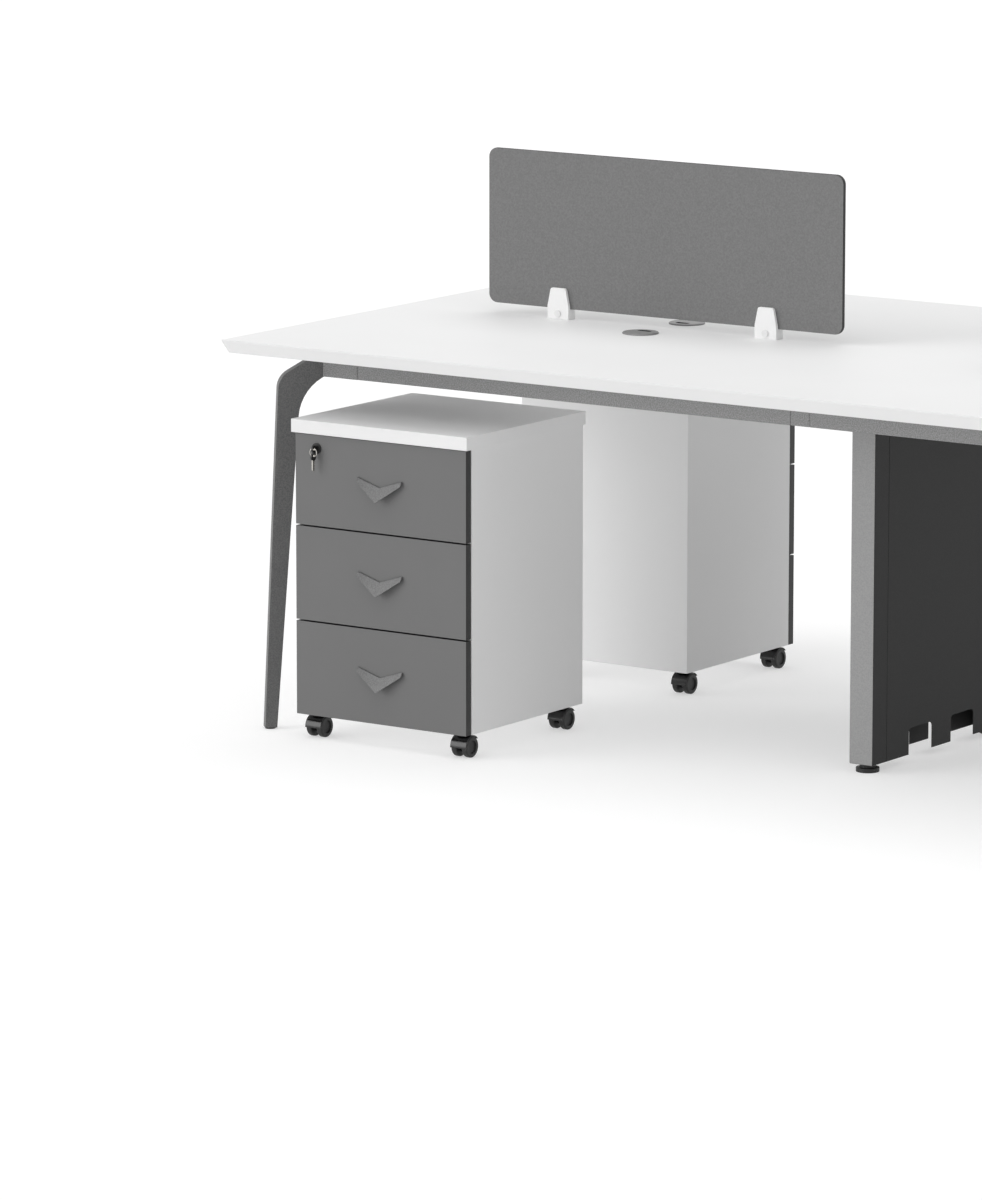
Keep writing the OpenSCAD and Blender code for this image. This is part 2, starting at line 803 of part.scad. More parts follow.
// How far the wing's front stands out: least along its upper edge, most at the point.
function wing_out(p) = handle_plate + handle_lean * (handle_tip_rise * p[0] / handle_half - p[1]);

// One flat wing, with its upper edge on the drawer face and its lower edge leaning out.
module handle_wing() {
    front = [for (p = wing_outline) [p[0], -wing_out(p), p[1]]];
    back = [for (p = front) p + [0, handle_plate, 0]];
    polyhedron(
        concat(front, back),
        [[0, 1, 2, 3], [7, 6, 5, 4], [0, 4, 5, 1], [1, 5, 6, 2], [2, 6, 7, 3], [3, 7, 4, 0]]);
}

// Two wings folded along the middle into a V, held by two studs near the tips.
module drawer_handle(i) {
    color(handle_color)
    translate([0, ped_front, face_middle(i)]) {
        for (mx = [0, 1]) mirror([mx, 0, 0]) handle_wing();
        for (side = SIDES)
            translate([side * stud_x, -handle_plate, stud_z])
            rotate([-90, 0, 0]) cylinder(h = handle_plate + handle_stud, d = handle_stud_d);
    }
}

lock_x = lock_inset - ped_width / 2;
lock_z = face_bottom(1) + top_face_height - lock_drop;
barrel_end = face_thickness + lock_tail;

module lock_barrel() {
    color(zinc_color)
    translate([lock_x, ped_front, lock_z])
    rotate([-90, 0, 0])
    difference() {
        union() {
            translate([0, 0, -lock_rim]) cylinder(h = lock_rim, d = lock_rim_d);
            cylinder(h = barrel_end, d = lock_barrel_d);
        }
        translate([0, 0, -lock_rim - over])
        cylinder(h = barrel_end + lock_rim + 2 * over, d = lock_plug_d + 2 * running);
    }
}

blade_start = key_head_d / 4;
blade_end = key_head_d / 2 + key_blade;
blade_cuts = 5;
cut_pitch = key_blade / (blade_cuts + 2);
cut_depth_share = 0.3;
cut_depth = key_blade_width * cut_depth_share;

// A key's blade seen from the side: straight back, a row of cuts and a point.
module blade_outline() {
    half = key_blade_width / 2;
    polygon(concat(
        [[blade_start, -half], [blade_end - half, -half], [blade_end, 0], [blade_end - half, half]],
        [for (i = [blade_cuts : -1 : 1]) for (q = [1, 0])
            [key_head_d / 2 + (i + q / 2) * cut_pitch, half - q * cut_depth]],
        [[blade_start, half]]));
}

// Key in the plane of Y and Z, pointing towards +Y: the blade ahead of a round head.
module key() {
    rotate([90, 0, 90])
    difference() {
        linear_extrude(key_head, center = true) circle(d = key_head_d);
        translate([-key_head_d / 2 + key_hole_d, 0])
        cylinder(h = key_head + 2 * over, d = key_hole_d, center = true);
    }
    rotate([90, 0, 90]) linear_extrude(key_blade_sheet, center = true) blade_outline();
}

key_hole_y = key_hole_d - key_head_d / 2;
ring_r = (ring_d - ring_wire) / 2;
ring_drop = ring_r - (key_hole_d - ring_wire) / 2 + clearance;

// Plug with its cam, the key in it, the split ring and the spare key hanging from the ring.
module lock_key() {
    head_y = -lock_rim - key_head_d / 2;
    translate([lock_x, ped_front, lock_z]) {
        color(zinc_color)
        rotate([-90, 0, 0]) {
            translate([0, 0, -lock_rim])
            cylinder(h = barrel_end + lock_rim + running + cam_thickness, d = lock_plug_d);
            translate([0, 0, barrel_end + running])
            linear_extrude(cam_thickness) {
                translate([0, -lock_plug_d / 3]) square([cam_length - lock_plug_d / 3, lock_plug_d * 2 / 3]);
                translate([cam_length - lock_plug_d / 3, 0]) circle(d = lock_plug_d * 2 / 3);
            }
        }
        color(plastic_color) translate([0, head_y, 0]) key();
        translate([0, head_y + key_hole_y, -ring_drop]) {
            color(zinc_color)
            rotate([90, 0, 0]) rotate_extrude() translate([ring_r, 0]) circle(d = ring_wire, $fn = 24);
            color(plastic_color)
            translate([0, 0, -ring_drop]) rotate([-90, 0, 0]) translate([0, -key_hole_y, 0]) key();
        }
    }
}

axle_height = wheel_d / 2;
hood_inner_r = wheel_d / 2 + hood_gap;
hood_r = hood_inner_r + hood_wall;
caster_width = wheel_gap + 2 * wheel_width;
web_hub_share = 0.5;

module ped_caster_plates() {
    color(zinc_color)
    for (p = caster_places)
        translate([p[0], p[1], plate_underside])
        difference() {
            union() {
                block([plate_side, plate_side, plate_thickness]);
                cylinder(h = socket_top - plate_underside, d = socket_d);
            }
            translate([0, 0, -over]) cylinder(h = stem_length + over + clearance, d = stem_d + 2 * running);
        }
}

// The sector of a disc between the hood's two ends, seen from the side with the hood's front at -X.
module hood_sector() {
    far = 2 * hood_r;
    polygon([
        [0, 0], far * [-cos(hood_front_angle), -sin(hood_front_angle)], [-far, far], [far, far],
        far * [cos(hood_back_angle), sin(hood_back_angle)]]);
}

// Side view of the caster about its axle.
module hood_profile() {
    intersection() {
        difference() {
            circle(hood_r);
            circle(hood_inner_r);
        }
        hood_sector();
    }
}

// The web carries the hood above and narrows to a hub round the axle below it.
module web_profile() {
    intersection() {
        circle(hood_inner_r + hood_wall / 2);
        hood_sector();
    }
    circle(hood_inner_r * web_hub_share);
}

// Swivelling caster body about its stem, with the hood towards -Y.
module caster() {
    color(plastic_color) {
        difference() {
            translate([0, caster_trail, axle_height])
            rotate([90, 0, 90]) {
                linear_extrude(caster_width, center = true) hood_profile();
                linear_extrude(web_width, center = true) web_profile();
            }
            translate([0, caster_trail, axle_height])
            rotate([0, 90, 0])
            cylinder(h = web_width + 2 * over, d = axle_d + 2 * running, center = true);
        }
        translate([0, 0, axle_height + hood_inner_r])
        cylinder(h = plate_underside - running - axle_height - hood_inner_r, d = collar_d);
        translate([0, 0, axle_height + hood_inner_r])
        cylinder(h = plate_underside + stem_length - axle_height - hood_inner_r, d = stem_d);
    }
}

wheel_recess_share = 0.62;
tread_round = wheel_width / 4;

// One wheel as a turned profile: distance from the axle, then distance along it from the middle.
module wheel_profile() {
    inner = wheel_gap / 2;
    outer = inner + wheel_width;
    r = wheel_d / 2;
    difference() {
        translate([0, inner]) square([r, wheel_width]);
        translate([-over, outer - tread_round]) square([r * wheel_recess_share + over, wheel_width]);
        corner_fillet([r, outer], [0, outer], [r, inner], tread_round);
        corner_fillet([r, inner], [0, inner], [r, outer], tread_round);
    }
}

module caster_wheels() {
    color(plastic_color)
    translate([0, caster_trail, axle_height])
    rotate([0, 90, 0]) {
        for (m = [0, 1]) mirror([0, 0, m]) rotate_extrude() wheel_profile();
        cylinder(h = caster_width - 2 * tread_round, d = axle_d, center = true);
    }
}

// Puts one caster's piece under a pedestal with its hood turned by an angle.
module at_caster(i, heading) {
    translate([caster_places[i - 1][0], caster_places[i - 1][1], 0]) rotate([0, 0, heading]) children();
}

ped_x = -top_length / 2 + ped_place;
ped_a_y = -top_depth / 2 + ped_a_set_back + ped_depth / 2;
ped_b_y = top_depth / 2 - ped_b_set_back - ped_depth / 2;

// Sets a pedestal in its place; the rear one is turned about to face the rear seats.
module at_pedestal(name) {
    if (name == "pedestal_a_") translate([ped_x, ped_a_y, 0]) children();
    else translate([ped_x, ped_b_y, 0]) rotate([0, 0, 180]) children();
}

table_top();
corner_legs();
frame_rails();
middle_frame();
cable_panels();
floor_glides();
screens();
screen_clips();
fixing_screws();
grommet_sleeves();
for (i = CASTERS)
    placed_cap(i);

for (p = ["pedestal_a_", "pedestal_b_"])
    at_pedestal(p) {
        ped_case();
        ped_top_board();
        ped_runners();
        ped_caster_plates();
        lock_barrel();
        lock_key();
        for (i = CASTERS)
            at_caster(i, p == "pedestal_a_" ? 0 : 180) {
                caster();
                caster_wheels();
            }
        for (i = DRAWERS) {
            drawer_face(i);
            drawer_box(i);
            drawer_handle(i);
        }
    }
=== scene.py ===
"""Looks of a four-seat desk bench: white top, grey steel frame, two felt screens, two pedestals.

Lengths are in metres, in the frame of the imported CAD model: X along the bench, -Y towards the seats
at the front, Z up from the floor.
"""

import math

import bpy
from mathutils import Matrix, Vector

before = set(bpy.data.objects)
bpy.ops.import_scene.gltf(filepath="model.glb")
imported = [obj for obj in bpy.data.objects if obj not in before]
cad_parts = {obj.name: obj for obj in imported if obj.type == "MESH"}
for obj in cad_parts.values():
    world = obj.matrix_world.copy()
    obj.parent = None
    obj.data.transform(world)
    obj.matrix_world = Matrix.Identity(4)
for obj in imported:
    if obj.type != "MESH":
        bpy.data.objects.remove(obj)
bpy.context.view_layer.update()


# The table top is one chipboard panel faced with white melamine, its edge cut back underneath.
# The paper is pressed against an engraved plate, which leaves a faint pebble and a low sheen.
def srgb(hex_colour):
    """A screen colour such as #8a8a8c as the linear red, green, blue and alpha that shaders take."""
    parts = [int(hex_colour[i:i + 2], 16) / 255 for i in (1, 3, 5)]
    return [p / 12.92 if p < 0.04045 else ((p + 0.055) / 1.055) ** 2.4 for p in parts] + [1.0]


def add_node(tree, kind, settings=None, stops=(), ordered=(), **named):
    """Adds a node with its settings, the stops of a colour ramp, and its inputs.

    The inputs come in order or by name. A socket is linked, and any other value is set.
    """
    node = tree.nodes.new(kind)
    for name, value in (settings or {}).items():
        setattr(node, name, value)
    if stops:
        for element, (position, colour) in zip(node.color_ramp.elements, stops):
            element.position = position
            element.color = srgb(colour)
    inputs = list(zip(node.inputs, ordered))
    inputs += [(node.inputs[name.replace("_", " ")], value) for name, value in named.items()]
    for socket, value in inputs:
        if isinstance(value, bpy.types.NodeSocket):
            tree.links.new(value, socket)
        else:
            socket.default_value = value
    return node


def start_material(name, **sockets):
    """A new material with the values that are the same all over its surface."""
    material = bpy.data.materials.new(name)
    material.use_nodes = True
    shader = material.node_tree.nodes["Principled BSDF"]
    for socket, value in sockets.items():
        shader.inputs[socket.replace("_", " ")].default_value = value
    return material, material.node_tree, shader


def dress(name, materials, edge=None, rounds=2):
    """Gives a CAD node its materials and, with an edge, its real worn or moulded edge radius.

    Triangles in one plane are joined first, so that the shading of a flat stays even. Without an
    edge radius the mesh and its normals stay as they are, and a board's material rounds the edges.
    """
    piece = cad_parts[name]
    piece.data.materials.clear()
    for material in materials:
        piece.data.materials.append(material)
    if edge is None:
        return piece
    piece.data.shade_smooth()
    piece.modifiers.new("facets_joined", "WELD").merge_threshold = 0.00001
    plane = piece.modifiers.new("planes_joined", "DECIMATE")
    plane.decimate_type = "DISSOLVE"
    plane.angle_limit = math.radians(0.5)
    plane.delimit = {"MATERIAL"}
    rounding = piece.modifiers.new("edges_rounded", "BEVEL")
    rounding.width = edge
    rounding.segments = rounds
    rounding.limit_method = "ANGLE"
    rounding.angle_limit = math.radians(35)
    rounding.use_clamp_overlap = False
    piece.modifiers.new("flats_kept", "WEIGHTED_NORMAL").weight = 80
    return piece


def melamine_board(name, dark, light, roughness, cloud_size, cloud_detail):
    """Melamine-faced board, whose tone drifts slowly in clouds of the given size."""
    material, tree, shader = start_material(name, Roughness=roughness, IOR=1.5)
    place = add_node(tree, "ShaderNodeTexCoord").outputs["Object"]
    pebble_size = 0.0022  # real pebble about 0.8 mm, drawn coarser so that it shows
    pebble_depth = 0.00006
    edge_radius = 0.0008  # of the edge tape, trimmed and scraped
    pebble = add_node(tree, "ShaderNodeTexNoise", Vector=place, Scale=1 / pebble_size, Detail=3.0)
    cloud = add_node(tree, "ShaderNodeTexNoise", Vector=place, Scale=1 / cloud_size,
                     Detail=cloud_detail)
    tone = add_node(tree, "ShaderNodeValToRGB", stops=((0.0, dark), (1.0, light)),
                    Fac=cloud.outputs["Fac"])
    edges = add_node(tree, "ShaderNodeBevel", {"samples": 4}, Radius=edge_radius)
    relief = add_node(tree, "ShaderNodeBump", Height=pebble.outputs["Fac"], Strength=0.2,
                      Distance=pebble_depth, Normal=edges.outputs["Normal"])
    tree.links.new(tone.outputs["Color"], shader.inputs["Base Color"])
    tree.links.new(relief.outputs["Normal"], shader.inputs["Normal"])
    return material


white_board = melamine_board("white_melamine", "#efefef", "#f4f4f4", roughness=0.6,
                             cloud_size=0.35, cloud_detail=3.0)
dress("table_top", [white_board])


# The frame is steel tube and cast aluminium in a metallic grey powder coat, baked on.
# The coat flows into a fine orange peel with light and dark flakes that sparkle close by.
# Each leg wears the rails' coat drawn darker as painted shade, and the arms of its casting are masked
# off to keep the rails' lighter grey.
rail_greys = ("#777777", "#989898")


def arm_mask(tree, place, root_x, root_y, underside):
    """1 on the arms, which lie above the underside and nearer the middle than their roots."""
    axes = add_node(tree, "ShaderNodeSeparateXYZ", Vector=place).outputs
    masks = []
    for axis, root in (("X", root_x), ("Y", root_y)):
        length = add_node(tree, "ShaderNodeMath", {"operation": "ABSOLUTE"}, ordered=[axes[axis]])
        mask = add_node(tree, "ShaderNodeMath", {"operation": "LESS_THAN"},
                        ordered=[length.outputs["Value"], root])
        masks.append(mask.outputs["Value"])
    either = add_node(tree, "ShaderNodeMath", {"operation": "MAXIMUM"}, ordered=masks)
    high = add_node(tree, "ShaderNodeMath", {"operation": "GREATER_THAN"},
                    ordered=[axes["Z"], underside])
    both = add_node(tree, "ShaderNodeMath", {"operation": "MULTIPLY"},
                    ordered=[either.outputs["Value"], high.outputs["Value"]])
    return both.outputs["Value"]


def powder_coat(name, dark, light, roughness, arm_roots=None):
    """Metallic powder coat, on a leg with the greys of the rails beyond the roots of its arms."""
    material, tree, shader = start_material(name, Roughness=roughness, Metallic=0.2)
    place = add_node(tree, "ShaderNodeTexCoord").outputs["Object"]
    flake_size = 0.0022  # real flakes about 0.3 mm, drawn coarser so that they show
    peel_depth = 0.0001
    flakes = add_node(tree, "ShaderNodeTexNoise", Vector=place, Scale=1 / flake_size, Detail=4.0)
    coats = [(dark, light), rail_greys] if arm_roots else [(dark, light)]
    tones = [add_node(tree, "ShaderNodeValToRGB", stops=((0.36, low), (0.64, high)),
                      Fac=flakes.outputs["Fac"]).outputs["Color"] for low, high in coats]
    tone = tones[0]
    if arm_roots:
        mask = arm_mask(tree, place, *arm_roots)
        tone = add_node(tree, "ShaderNodeMixRGB", ordered=[mask] + tones).outputs["Color"]
    peel = add_node(tree, "ShaderNodeBump", Height=flakes.outputs["Fac"], Strength=0.5,
                    Distance=peel_depth)
    tree.links.new(tone, shader.inputs["Base Color"])
    tree.links.new(peel.outputs["Normal"], shader.inputs["Normal"])
    return material


rail_coat = powder_coat("rail_powder_coat", *rail_greys, roughness=0.5)
rail_points = [v.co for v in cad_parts["frame_rails"].data.vertices]
casting_corner = 0.017  # how far the leg's painted-shade grey reaches from the corner along each arm
mask_lap = 0.0005  # how far the mask laps over the lower edge of an arm
arm_roots = (max(p.x for p in rail_points) - casting_corner,
             max(p.y for p in rail_points) - casting_corner,
             min(p.z for p in rail_points) + mask_lap)
# The leg's greys are the rails' coat drawn darker as painted shade.
leg_shade_coat = powder_coat("leg_painted_shade_coat", "#565656", "#6a6a6a", roughness=0.5,
                       arm_roots=arm_roots)
dress("corner_legs", [leg_shade_coat])
dress("frame_rails", [rail_coat], edge=0.0015)


# The cable panels are folded steel sheet between the middle posts, coated in a dark grey that is
# painted near-black with the shade of the top above them, so their coat shows little sparkle.
panel_shade_coat = powder_coat("panel_painted_shade_coat", "#161616", "#1e1e1e", roughness=0.65)
dress("cable_panels", [panel_shade_coat], edge=0.0004, rounds=1)


# The middle posts have the smooth light coat in front and behind. Their sides that face the panels
# are drawn with the panels' dark coat as painted shade. The beam above them is coated like the rails.
def paint(piece, slot_of):
    """Gives each face of a piece the material slot that slot_of names for it."""
    for face in piece.data.polygons:
        face.material_index = slot_of(face)


square_on = 0.7  # a face looks along an axis where its normal leans up to 45 degrees from it
beam_height = 0.05
post_coat = powder_coat("post_powder_coat", "#909090", "#9a9a9a", roughness=0.45)
middle = dress("middle_frame", [rail_coat, post_coat, panel_shade_coat], edge=0.0015)
beam_bottom = max(v.co.z for v in middle.data.vertices) - beam_height
# Below the beam, faces that look along X get the panels' dark coat as painted shade.
paint(middle, lambda face: 0 if face.center.z >= beam_bottom
      else 2 if abs(face.normal.x) > square_on else 1)


# The floor glides are turned from black nylon, with a dull surface that the floor has scuffed.
# Nylon and ABS parts alike carry the fine grain of a tool, and handling rubs patches of it.
def moulded_plastic(name, colour, roughness, IOR=1.5):
    """Plastic of one colour, with grain, and with scuffs that make it duller or shinier."""
    material, tree, shader = start_material(name, IOR=IOR)
    shader.inputs["Base Color"].default_value = srgb(colour)
    place = add_node(tree, "ShaderNodeTexCoord").outputs["Object"]
    grain_size = 0.0015  # spark-eroded grain of about 0.5 mm, drawn coarser so that it shows
    grain_depth = 0.00008
    scuff_size = 0.02
    scuff_change = 0.06  # in roughness, up and down
    grain = add_node(tree, "ShaderNodeTexNoise", Vector=place, Scale=1 / grain_size, Detail=4.0)
    relief = add_node(tree, "ShaderNodeBump", Height=grain.outputs["Fac"], Strength=0.4,
                      Distance=grain_depth)
    scuffs = add_node(tree, "ShaderNodeTexNoise", Vector=place, Scale=1 / scuff_size, Detail=5.0)
    rub = add_node(tree, "ShaderNodeMapRange", Value=scuffs.outputs["Fac"],
                   To_Min=roughness - scuff_change, To_Max=roughness + scuff_change)
    tree.links.new(rub.outputs["Result"], shader.inputs["Roughness"])
    tree.links.new(relief.outputs["Normal"], shader.inputs["Normal"])
    return material


glide_nylon = moulded_plastic("black_glide_nylon", "#0c0c0c", 0.5)
dress("floor_glides", [glide_nylon], edge=0.0005)


# The screens are boards wrapped in mid-grey pressed wool felt, and their edge faces are drawn
# near-black.
# Felt has no weave: its fibres lie every way and give a fine mottle and a dull, hazy surface.
def wool_felt(name, dark, light):
    material, tree, shader = start_material(name, Roughness=0.95, Sheen_Weight=0.2,
                                            Sheen_Roughness=0.6)
    place = add_node(tree, "ShaderNodeTexCoord").outputs["Object"]
    tuft_size = 0.003  # real tufts about 1 mm, drawn coarser so that they show
    tuft_height = 0.0006
    tufts = add_node(tree, "ShaderNodeTexNoise", Vector=place, Scale=1 / tuft_size, Detail=6.0,
                     Roughness=0.65)
    tone = add_node(tree, "ShaderNodeValToRGB", stops=((0.33, dark), (0.67, light)),
                    Fac=tufts.outputs["Fac"])
    pile = add_node(tree, "ShaderNodeBump", Height=tufts.outputs["Fac"], Strength=0.7,
                    Distance=tuft_height)
    tree.links.new(tone.outputs["Color"], shader.inputs["Base Color"])
    tree.links.new(pile.outputs["Normal"], shader.inputs["Normal"])
    return material


felt = wool_felt("grey_wool_felt", "#707070", "#808080")
dark_screen_edges = wool_felt("near_black_screen_edges", "#121212", "#1b1b1b")
screens = dress("screens", [felt, dark_screen_edges], edge=0.0015)
# Faces that don't look to the front or back are drawn near-black.
paint(screens, lambda face: 0 if abs(face.normal.y) > square_on else 1)


# The screen clips are U-shaped blocks moulded in white ABS, open at the top for the board.
# ABS from a satin mould keeps a soft gleam on its rounded corners.
white_abs = moulded_plastic("white_satin_abs", "#f8f8f8", 0.35, IOR=1.54)
dress("screen_clips", [white_abs], edge=0.001)


# Screws, runners and the casters' plates are pressed or turned steel, plated with bright zinc.
# The plating is thin and keeps the drawn lines of the steel, so its gloss is a little broken.
# The round heads in the screen clips are lacquered white.
def zinc_plate():
    material, tree, shader = start_material("bright_zinc_plate", Metallic=1.0)
    place = add_node(tree, "ShaderNodeTexCoord").outputs["Object"]
    line_width = 0.0005  # real lines about 0.05 mm, drawn coarser so that they show
    line_length = 8 * line_width
    lines = add_node(tree, "ShaderNodeMapping", Vector=place,
                     Scale=(1.0, 1.0, line_length / line_width))
    drawn = add_node(tree, "ShaderNodeTexNoise", Vector=lines.outputs["Vector"],
                     Scale=1 / line_length, Detail=5.0)
    tone = add_node(tree, "ShaderNodeValToRGB", stops=((0.0, "#b4b5b8"), (1.0, "#d2d3d5")),
                    Fac=drawn.outputs["Fac"])
    rub = add_node(tree, "ShaderNodeMapRange", Value=drawn.outputs["Fac"], To_Min=0.24, To_Max=0.4)
    tree.links.new(tone.outputs["Color"], shader.inputs["Base Color"])
    tree.links.new(rub.outputs["Result"], shader.inputs["Roughness"])
    return material


zinc = zinc_plate()
white_lacquer = moulded_plastic("white_screw_lacquer", "#ececec", 0.35)
screws = dress("fixing_screws", [zinc, white_lacquer], edge=0.0004)
clip_zone = 0.03  # the heads in the clips lie within this of the highest point
clip_zone_bottom = max(v.co.z for v in screws.data.vertices) - clip_zone
paint(screws, lambda face: 1 if face.center.z > clip_zone_bottom else 0)


# Cable grommets: a sleeve pressed into each hole of the top, and a cap that turns in it.
# Both are moulded in ABS with aluminium flakes in the plastic, which gives a flat silver grey.
# Inside the sleeve and in the cable slot, the black is painted shade of the hollows.
silver_abs = moulded_plastic("silver_flake_abs", "#7e7e7e", 0.4, IOR=1.54)
grommet_hollow_shade = moulded_plastic("grommet_hollow_shade", "#0c0c0c", 0.5, IOR=1.54)
silver_height = 0.004  # the 3 mm rim of the sleeve and a little below it
cap_skin = 0.0005  # the upper side of a cap lies within this of its highest point
cap_edge = 0.0015  # the edge of a cap is silver all the way down
sleeves = dress("grommet_sleeves", [silver_abs, grommet_hollow_shade], edge=0.0004)
silver_bottom = max(v.co.z for v in sleeves.data.vertices) - silver_height
# Below the rim, the inside of the sleeve gets black painted shade.
paint(sleeves, lambda face: 1 if face.center.z < silver_bottom else 0)
for i in range(1, 5):
    cap = dress(f"grommet_cap_{i}", [silver_abs, grommet_hollow_shade], edge=0.0005)
    xs, ys, zs = zip(*(v.co for v in cap.data.vertices))
    centre = Vector(((max(xs) + min(xs)) / 2, (max(ys) + min(ys)) / 2, 0))
    inner_radius = (max(xs) - min(xs)) / 2 - cap_edge
    skin_bottom = max(zs) - cap_skin
    # Below its upper side and inside its edge, the slot and underside of a cap get black painted
    # shade.
    paint(cap, lambda face: 1 if face.center.z < skin_bottom
          and (face.center - centre).xy.length < inner_radius else 0)


# Pedestal carcases and their top boards are the white melamine of the desk, with matching tape.
# The drawer boxes behind the fronts are made of the same faced board in light grey, and carry the
# zinc-plated slides that run in the fixed channels of the case.
box_board = melamine_board("light_grey_melamine", "#cfcfcf", "#d8d8d8", roughness=0.5,
                           cloud_size=0.12, cloud_detail=4.0)
slide_reach = 0.0055  # how far a slide stands out from the side of its box
pedestals = ("pedestal_a_", "pedestal_b_")
for pedestal in pedestals:
    dress(pedestal + "case", [white_board])
    dress(pedestal + "top_board", [white_board])
    dress(pedestal + "runners", [zinc], edge=0.0002, rounds=1)
    for i in range(1, 4):
        drawer = dress(f"{pedestal}drawer_{i}", [box_board, zinc])
        xs = [v.co.x for v in drawer.data.vertices]
        centre_x = (max(xs) + min(xs)) / 2
        box_side = (max(xs) - min(xs)) / 2 - slide_reach
        paint(drawer, lambda face: 1 if abs(face.center.x - centre_x) > box_side else 0)


# Drawer fronts are mid-grey melamine board, and their four edges carry near-black tape.
# The tape is ABS ironed on and trimmed flush, so it shows as a dark line round each front.
front_board = melamine_board("mid_grey_melamine", "#666666", "#6b6b6b", roughness=0.5,
                             cloud_size=0.12, cloud_detail=4.0)
edge_tape = moulded_plastic("black_edge_tape", "#131313", 0.5)
for pedestal in pedestals:
    for i in range(1, 4):
        front = dress(f"{pedestal}face_{i}", [front_board, edge_tape])
        paint(front, lambda face: 0 if abs(face.normal.y) > square_on else 1)


# The handles are folded from steel strip: two feet on the drawer front and a V-shaped grip.
# They carry a satin powder coat in a dark grey close to the painted shade of the legs, a little
# glossier from being held.
handle_coat = powder_coat("handle_satin_coat", "#545454", "#6a6a6a", roughness=0.4)
for pedestal in pedestals:
    for i in range(1, 4):
        dress(f"{pedestal}handle_{i}", [handle_coat], edge=0.0006)


# The lock is a nickel-plated cam lock in the top drawer front, with its key and a spare on a ring.
# Die-cast zinc under nickel shines more than the zinc plate and has no drawn lines. The barrel's
# rim, the face of the plug and the keys' heads are black.
def nickel_plate():
    material, tree, shader = start_material("nickel_plate", Metallic=1.0)
    place = add_node(tree, "ShaderNodeTexCoord").outputs["Object"]
    haze_size = 0.003  # patches of finer and coarser polish
    haze = add_node(tree, "ShaderNodeTexNoise", Vector=place, Scale=1 / haze_size, Detail=4.0)
    tone = add_node(tree, "ShaderNodeValToRGB", stops=((0.0, "#bdbab4"), (1.0, "#d6d3cd")),
                    Fac=haze.outputs["Fac"])
    rub = add_node(tree, "ShaderNodeMapRange", Value=haze.outputs["Fac"], To_Min=0.15, To_Max=0.3)
    tree.links.new(tone.outputs["Color"], shader.inputs["Base Color"])
    tree.links.new(rub.outputs["Result"], shader.inputs["Roughness"])
    return material


nickel = nickel_plate()
black_grip = moulded_plastic("black_key_grip", "#161616", 0.4)
ring_radius = 0.0085  # the ring reaches this far to the side of the keys
head_radius = 0.007  # the key's head touches the face of the plug
head_half = 0.0015  # half the thickness of a key's head
spare_out = 0.002  # how far the spare key hangs in front of the key
spare_drop = 0.0146  # and how far below it
facet = 0.0001  # half the play left for the flat facets of the rounds


def key_slot(face, turn, key_plane, head_y, head_z):
    """1 on the plug, its cam and the two keys' heads, and 0 on the blades and the ring."""
    across = abs(face.center.x * turn - key_plane)
    along = face.center.y * turn - head_y
    heads = [math.hypot(along, face.center.z - head_z),
             math.hypot(along + spare_out, face.center.z - head_z + spare_drop)]
    near_head = across < head_half + facet
    on_rim = min(abs(h - head_radius) for h in heads) < 2 * facet
    sideways = across > head_half - facet and abs(face.normal.x) > 0.9
    on_flat = sideways and min(heads) < head_radius
    on_plug = along > head_radius - 2 * facet
    return 1 if on_plug or near_head and (on_rim or on_flat) else 0


for pedestal, turn in zip(pedestals, (1, -1)):  # the second pedestal is turned by half a turn
    dress(pedestal + "lock_barrel", [black_grip], edge=0.0004)
    keys = dress(pedestal + "lock_key", [nickel, black_grip])
    points = [v.co * turn for v in keys.data.vertices]
    key_plane = min(p.x for p in points) + ring_radius
    head_y = min(p.y for p in points) + spare_out + head_radius
    head_z = max(v.co.z for v in keys.data.vertices) - head_radius
    paint(keys, lambda face: key_slot(face, turn, key_plane, head_y, head_z))


# The casters are black nylon: a hood and fork on a steel stem, and twin wheels with plain treads.
# The hoods come glossy from the mould, and the floor dulls the treads.
hood_nylon = moulded_plastic("black_gloss_nylon", "#0c0c0c", 0.26, IOR=1.53)
tread_nylon = moulded_plastic("black_tread_nylon", "#101010", 0.5, IOR=1.53)
for pedestal in pedestals:
    dress(pedestal + "caster_plates", [zinc], edge=0.0003)
    for i in range(1, 5):
        dress(f"{pedestal}caster_{i}", [hood_nylon], edge=0.0005)
        dress(f"{pedestal}wheels_{i}", [tread_nylon], edge=0.0005)


# The stage is a plain white studio floor under broad, soft light from the front left.
# The painted floor scatters evenly, with no gloss. Its glow stands for the lamps that wash the
# floor alone: it is seen in full, but flags hold over a third of it off the desk.
def studio_paint():
    material, tree, shader = start_material("studio_floor_paint", Roughness=1.0,
                                            Emission_Color=srgb("#ffffff"))
    place = add_node(tree, "ShaderNodeTexCoord").outputs["Object"]
    cloud_size = 1.5  # coats that overlap as they are rolled on in strips
    glow_seen = 0.48
    glow_on_desk = 0.3
    cloud = add_node(tree, "ShaderNodeTexNoise", Vector=place, Scale=1 / cloud_size, Detail=3.0)
    tone = add_node(tree, "ShaderNodeValToRGB", stops=((0.0, "#c3c3c3"), (1.0, "#c7c7c7")),
                    Fac=cloud.outputs["Fac"])
    light_path = add_node(tree, "ShaderNodeLightPath")
    glow = add_node(tree, "ShaderNodeMapRange", Value=light_path.outputs["Is Diffuse Ray"],
                    To_Min=glow_seen, To_Max=glow_on_desk)
    tree.links.new(tone.outputs["Color"], shader.inputs["Base Color"])
    tree.links.new(glow.outputs["Result"], shader.inputs["Emission Strength"])
    return material


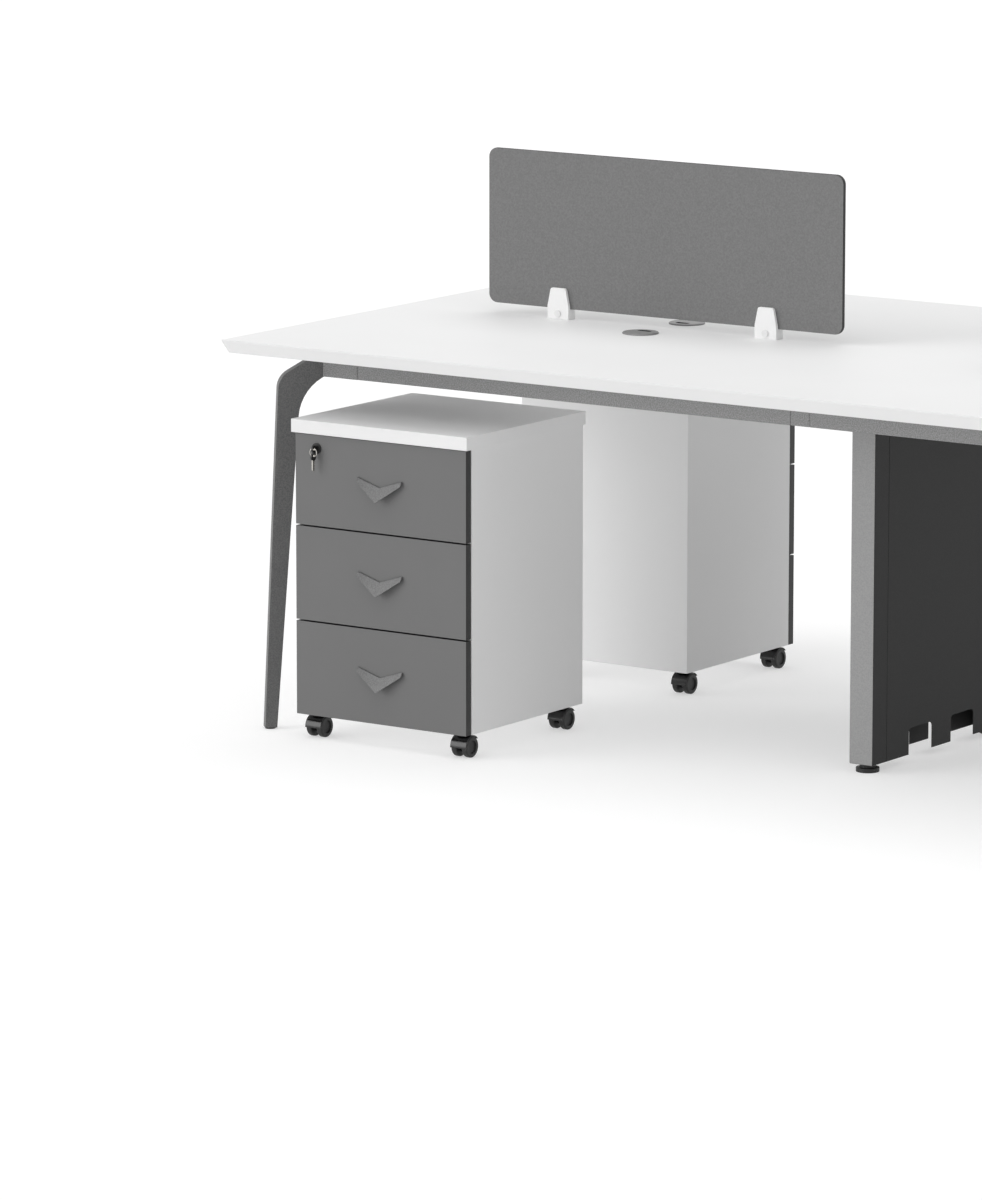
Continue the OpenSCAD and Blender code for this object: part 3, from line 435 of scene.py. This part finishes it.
floor_reach = 60
corners = [(x * floor_reach, y * floor_reach, 0) for x, y in ((-1, -1), (1, -1), (1, 1), (-1, 1))]
floor_mesh = bpy.data.meshes.new("studio_floor")
floor_mesh.from_pydata(corners, [], [(0, 1, 2, 3)])
floor_mesh.materials.append(studio_paint())
floor = bpy.data.objects.new("studio_floor", floor_mesh)
scene = bpy.context.scene
scene.collection.objects.link(floor)

# The room round the stage is dim, but the camera and every gloss see its white backdrop.
# That keeps the picture's ground white without lighting the desk from all sides.
scene.world = bpy.data.worlds.new("studio_air")
scene.world.use_nodes = True
air = scene.world.node_tree
room = air.nodes["Background"]
room.inputs["Color"].default_value = srgb("#ffffff")
room.inputs["Strength"].default_value = 0.12
backdrop = add_node(air, "ShaderNodeBackground", Color=srgb("#ffffff"), Strength=1.0)
seen = add_node(air, "ShaderNodeLightPath").outputs
seen_white = add_node(air, "ShaderNodeMath", {"operation": "MAXIMUM"},
                      ordered=[seen["Is Camera Ray"], seen["Is Glossy Ray"]])
views = add_node(air, "ShaderNodeMixShader",
                 ordered=[seen_white.outputs["Value"], room.outputs["Background"],
                          backdrop.outputs["Background"]])
air.links.new(views.outputs["Shader"], air.nodes["World Output"].inputs["Surface"])

# A broad light from the front left models the desk, a weak one fills the right side, and the
# widest hangs above. Each has its strength, its spread in degrees and the way towards it.
for name, strength, spread, toward in (("front_softbox", 1.4, 45, (-0.66, -0.69, 0.29)),
                                       ("right_fill_card", 0.35, 60, (0.80, -0.52, 0.30)),
                                       ("ceiling_softbox", 2.05, 80, (0.0, 0.0, 1.0))):
    lamp = bpy.data.lights.new(name, "SUN")
    lamp.energy = strength
    lamp.angle = math.radians(spread)
    stand = bpy.data.objects.new(name, lamp)
    stand.rotation_euler = Vector(toward).to_track_quat("Z", "Y").to_euler()
    scene.collection.objects.link(stand)
scene.view_settings.view_transform = "Standard"

# The camera stands where the photographer's did, a long way off and a little above the top.
# The place, aim and lens were fitted to the straight edges of the desk and the pedestals.
tilt_down = 10.361
heading = 34.849
camera = bpy.data.cameras.new("camera")
camera.sensor_width = 36
camera.lens = 208.27
camera.clip_end = 200
camera_stand = bpy.data.objects.new("camera", camera)
camera_stand.location = (6.600, -10.9155, 2.6152)
camera_stand.rotation_euler = (math.radians(90 - tilt_down), 0, math.radians(heading))
scene.collection.objects.link(camera_stand)
scene.camera = camera_stand
